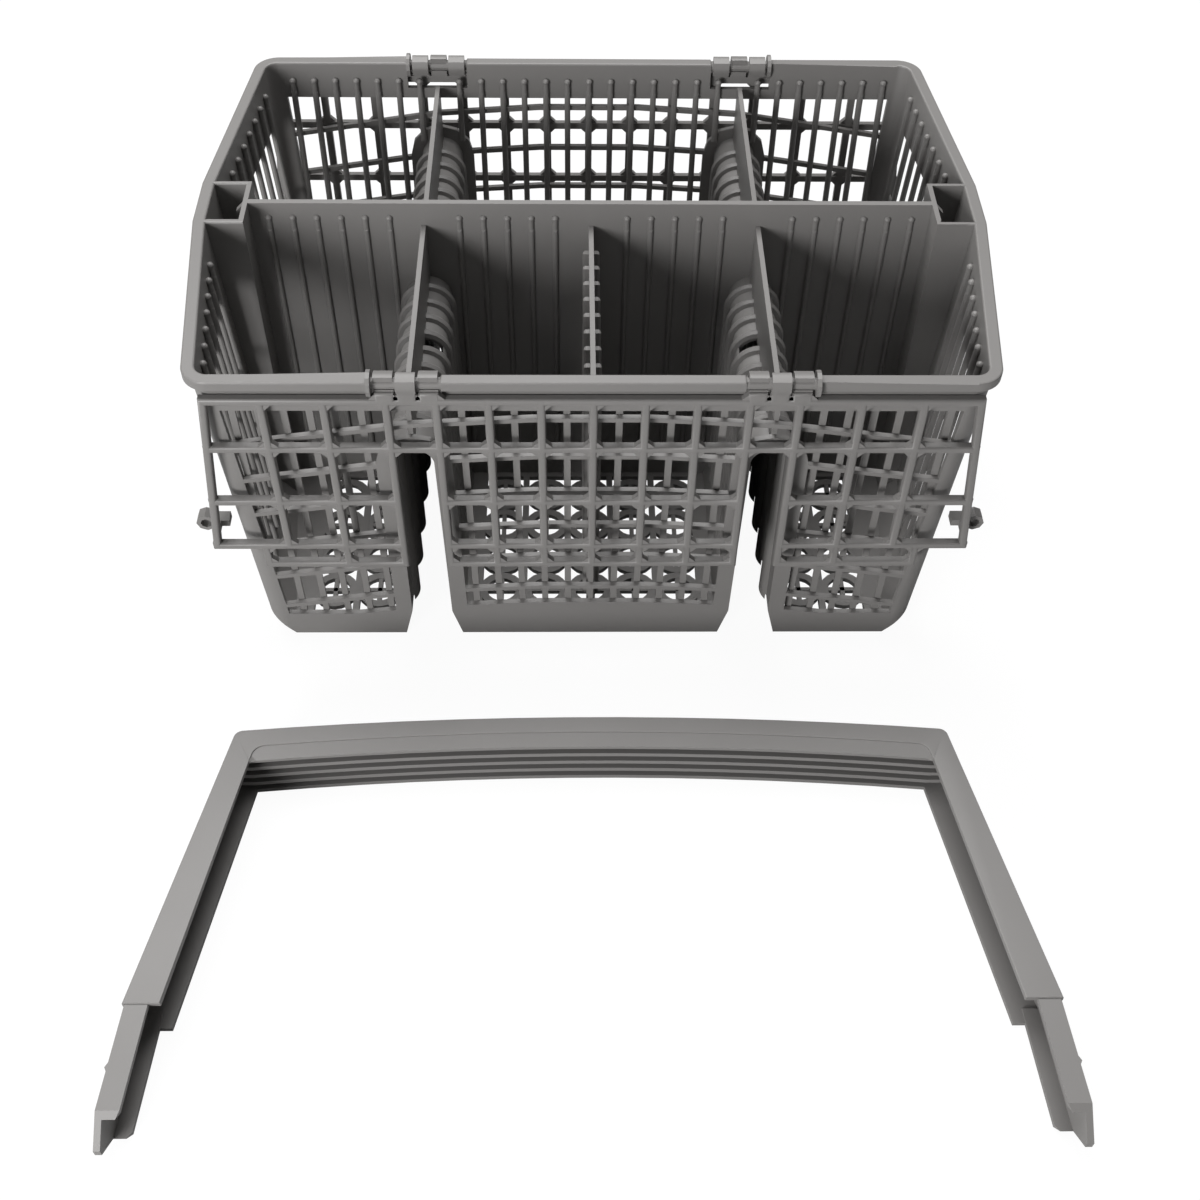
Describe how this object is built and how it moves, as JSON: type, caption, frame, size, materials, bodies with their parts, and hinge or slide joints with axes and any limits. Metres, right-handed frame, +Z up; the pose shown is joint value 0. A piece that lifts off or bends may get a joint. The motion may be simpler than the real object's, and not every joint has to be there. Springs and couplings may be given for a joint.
{
  "type": "dishwasher cutlery basket",
  "caption": "Moulded cutlery basket with grille walls, arched tunnels between its bins, hinged grid lids hanging open, and a channel-section carrying handle taken off and laid in front.",
  "frame": {"origin": "middle of the basket's underside, on the plane it stands on", "axes": "+Z up through the open top, -Y towards the front where the handle lies, X along the length of the basket"},
  "size_m": [0.2584, 0.3393, 0.1217],
  "materials": {
    "grey_plastic": "satin"
  },
  "bodies": {
    "basket": {"front_left_wall": "grey_plastic", "front_middle_wall": "grey_plastic", "front_right_wall": "grey_plastic", "back_left_wall": "grey_plastic", "back_middle_wall": "grey_plastic", "back_right_wall": "grey_plastic", "front_rim": "grey_plastic", "back_rim": "grey_plastic", "left_end": "grey_plastic", "right_end": "grey_plastic", "left_floor": "grey_plastic", "middle_floor": "grey_plastic", "right_floor": "grey_plastic", "left_frame": "grey_plastic", "middle_frame": "grey_plastic", "right_frame": "grey_plastic", "left_roof": "grey_plastic", "right_roof": "grey_plastic", "handle": "grey_plastic"},
    "front_lid": {"front_lid": "grey_plastic"},
    "back_lid": {"back_lid": "grey_plastic"}
  },
  "joints": [
    {"name": "front_lid_hinge", "type": "hinge", "parent": "basket", "child": "front_lid", "pos_m": [0, -0.0816, 0.1178], "axis": [-1, 0, 0], "range_deg": [0, 270]},
    {"name": "back_lid_hinge", "type": "hinge", "parent": "basket", "child": "back_lid", "pos_m": [0, 0.0816, 0.1178], "axis": [1, 0, 0], "range_deg": [0, 270]}
  ]
}
